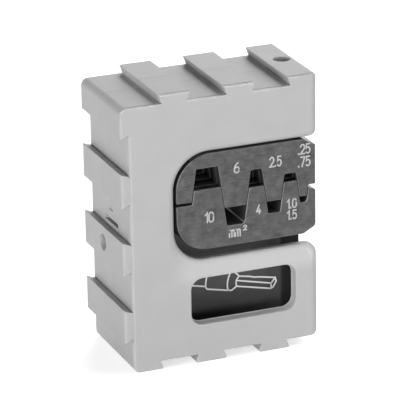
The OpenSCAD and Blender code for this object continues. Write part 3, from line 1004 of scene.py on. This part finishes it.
# figures, left, base, height and width
figurePlaces = {
    "upperMarks": ("upper_jaw", (
        ("6", 20.17, 34.22, 1.85, 0.93),
        ("2.5", 27.15, 34.32, 1.8, 2.2),
        (".25", 32.75, 35.95, 1.75, 2.3),
        (".75", 32.75, 33.5, 1.8, 2.3),
    )),
    "lowerMarks": ("lower_jaw", (
        ("10", 14.28, 25.53, 1.85, 1.68),
        ("4", 24.45, 25.68, 1.65, 0.74),
        ("1.0", 30.45, 25.82, 1.65, 1.85),
        ("1.5", 30.45, 23.64, 1.65, 1.85),
        ("mm", 19.05, 21.97, 1.36, 2.1),
        ("2", 21.85, 22.98, 0.85, 0.52),
    )),
}
for marksName, (marksBody, places) in figurePlaces.items():
    build = bmesh.new()
    for place in places:
        writeFigures(build, *place)
    finishMarks(marksName, build, marksBody, figureMark)

# ferrule on a wire, drawn along its own sloping axis: along the ferrule, then across it
iconShape = {
    "origin": (14.68, 12.12),
    "slope": math.atan(-0.235),
    "collar": 2.1,            # half the width of the collar's flare
}


def iconPoint(along, across):
    originX, originZ = iconShape["origin"]
    cosine, sine = math.cos(iconShape["slope"]), math.sin(iconShape["slope"])
    return originX + along * cosine - across * sine, originZ + along * sine + across * cosine


def iconArc(centre, bulge, reach, steps):
    points = []
    for step in range(steps + 1):
        across = reach * (2 * step / steps - 1)
        share = math.sqrt(max(1 - (across / iconShape["collar"]) ** 2, 0))
        points.append((centre - bulge * share, across))
    return points


iconLines = [    # wire, collar, then tube
    [(-2.6, -1.68), (3.08, -1.6)],
    [(-2.6, 1.68), (3.08, 1.6)],
    iconArc(3.515, 0.6, 2.1, 18),
    [(3.515, -2.1), (7.75, -2.02), (8.5, -1.97), (9.34, -1.08)],
    [(3.515, 2.1), (7.75, 2.02), (8.2, 1.7), (9.45, 0.875)],
    iconArc(8.057, 0.748, 1.98, 16),
    [(9.45, 0.875), (9.12, 0.4), (9.03, -0.1), (9.1, -0.65), (9.351, -1.113)],
    [(9.45, 0.875), (11.6, 0.98), (12.5, 0.9), (13.4, 1.02), (16.75, 1.15)],
    [(9.317, 0.0), (16.275, -0.02)],
    [(9.351, -1.113), (16.45, -1.05)],
    [(16.2, -0.02), (16.78, 1.12), (17.15, 0.5), (16.8, -0.7), (16.45, -1.03), (16.2, -0.02)],
]
icon = bmesh.new()
for line in iconLines:
    strokeSlab(icon, [iconPoint(*point) for point in line], markStyle["iconStroke"], dieShape["tang"][1])
finishMarks("ferruleIcon", icon, "lower_jaw", iconMark)
print("figures and icon made")

# Camera where the photograph was taken
cameraPlace = {
    "azimuth": 0.37873409,    # radians round to the left of the front face
    "elevation": 0.35109199,
    "roll": -0.01717323,
    "distance": 0.615206,
    "lens": 307.208,
    "target": (13.3967, 0.0, 30.0633),
}


def makeCamera():
    look = cameraPlace
    data = bpy.data.cameras.new("camera")
    data.sensor_width = 36
    data.lens = look["lens"]
    data.clip_start = 0.01
    data.clip_end = 20
    camera = bpy.data.objects.new("camera", data)
    bpy.context.collection.objects.link(camera)
    azimuth, elevation, roll = look["azimuth"], look["elevation"], look["roll"]
    back = Vector((-math.sin(azimuth) * math.cos(elevation), -math.cos(azimuth) * math.cos(elevation),
                   math.sin(elevation)))
    right = (-back).cross(Vector((0, 0, 1))).normalized()
    up = right.cross(-back).normalized()
    rolledRight = right * math.cos(roll) + up * math.sin(roll)
    rolledUp = up * math.cos(roll) - right * math.sin(roll)
    turn = Matrix((rolledRight, rolledUp, back)).transposed()
    eye = toFrame @ Vector(look["target"]) + back * look["distance"]
    camera.matrix_world = Matrix.Translation(eye) @ turn.to_4x4()
    bpy.context.scene.camera = camera


makeCamera()

# Studio: pale floor, soft lamps and a dim surround that is a little paler near the horizon
studioLight = {
    "surround": 0.04,
    "horizon": 0.12,
    "horizonRange": (0.05, 0.3),   # heights, as sines, over which the paler horizon fades out
    "glossHorizon": 0.8,           # what the camera and gloss see of a white background there
    "glossRange": (0.1, 0.5),
    # name, power, width, height, degrees round from the front towards the right, degrees up, distance
    "lamps": (
        ("back right softbox", 16.4, 0.9, 1.1, 144, 29, 1.4),
        ("left softbox", 3.5, 0.57, 0.19, 294, 7, 0.8),
        ("front strip", 2.45, 0.1, 0.22, 350, 4, 0.8),
        ("front right softbox", 0.75, 0.2, 0.16, 21, 9, 0.8),
        ("high right softbox", 5.4, 0.8, 0.7, 62, 57, 1.4),
        ("upper left lamp", 1.4, 0.25, 0.25, 308, 38, 1.4),
    ),
    "aim": (0, 0, 0.025),
    "floorReach": 4.0,
    "floorGrey": 0.86,
    "floorRoughness": 0.9,
    "floorLift": 0.6,         # raises the floor to white for the camera and in gloss only
}


def seenMask(tree):
    # one for rays that show a background: straight from the camera, in gloss or through something clear
    path = tree.nodes.new("ShaderNodeLightPath")
    straight = mathNode(tree, "MAXIMUM", path.outputs["Is Camera Ray"], path.outputs["Is Glossy Ray"])
    return mathNode(tree, "MAXIMUM", straight, path.outputs["Is Transmission Ray"])


def addLamp(name, power, width, height, degreesRound, degreesUp, distance):
    data = bpy.data.lights.new(name, "AREA")
    data.shape = "RECTANGLE"
    data.energy = power
    data.size = width
    data.size_y = height
    lamp = bpy.data.objects.new(name, data)
    bpy.context.collection.objects.link(lamp)
    around, rise = math.radians(degreesRound), math.radians(degreesUp)
    away = Vector((math.sin(around) * math.cos(rise), -math.cos(around) * math.cos(rise), math.sin(rise)))
    lamp.location = Vector(studioLight["aim"]) + away * distance
    lamp.rotation_mode = "QUATERNION"
    lamp.rotation_quaternion = away.to_track_quat("Z", "Y")


def makeStudio():
    look = studioLight
    world = bpy.data.worlds.new("studio surround")
    world.use_nodes = True
    bpy.context.scene.world = world
    tree = world.node_tree
    background = tree.nodes["Background"]
    background.inputs["Color"].default_value = (1, 1, 1, 1)
    direction = tree.nodes.new("ShaderNodeTexCoord")
    height = axisPart(tree, direction.outputs["Generated"], "Z")
    dome = rangeNode(tree, height, *look["horizonRange"], look["horizon"], look["surround"])
    pale = rangeNode(tree, height, *look["glossRange"], look["glossHorizon"], 0.0)
    shown = mathNode(tree, "MULTIPLY", pale, seenMask(tree))
    tree.links.new(mathNode(tree, "MAXIMUM", dome, shown), background.inputs["Strength"])
    for lamp in look["lamps"]:
        addLamp(*lamp)
    mesh = bpy.data.meshes.new("floor")
    reach = look["floorReach"]
    square = [(-reach, -reach, 0), (reach, -reach, 0), (reach, reach, 0), (-reach, reach, 0)]
    mesh.from_pydata(square, [], [(0, 1, 2, 3)])
    floor = bpy.data.objects.new("floor", mesh)
    bpy.context.collection.objects.link(floor)
    material, tree, shader, _ = startMaterial("pale studio floor")
    grey = look["floorGrey"]
    shader.inputs["Base Color"].default_value = (grey, grey, grey, 1)
    shader.inputs["Roughness"].default_value = look["floorRoughness"]
    shader.inputs["Emission Color"].default_value = (1, 1, 1, 1)
    lift = mathNode(tree, "MULTIPLY", seenMask(tree), look["floorLift"])
    tree.links.new(lift, shader.inputs["Emission Strength"])
    mesh.materials.append(material)


makeStudio()
bpy.context.scene.view_settings.view_transform = "Standard"
print("studio made")
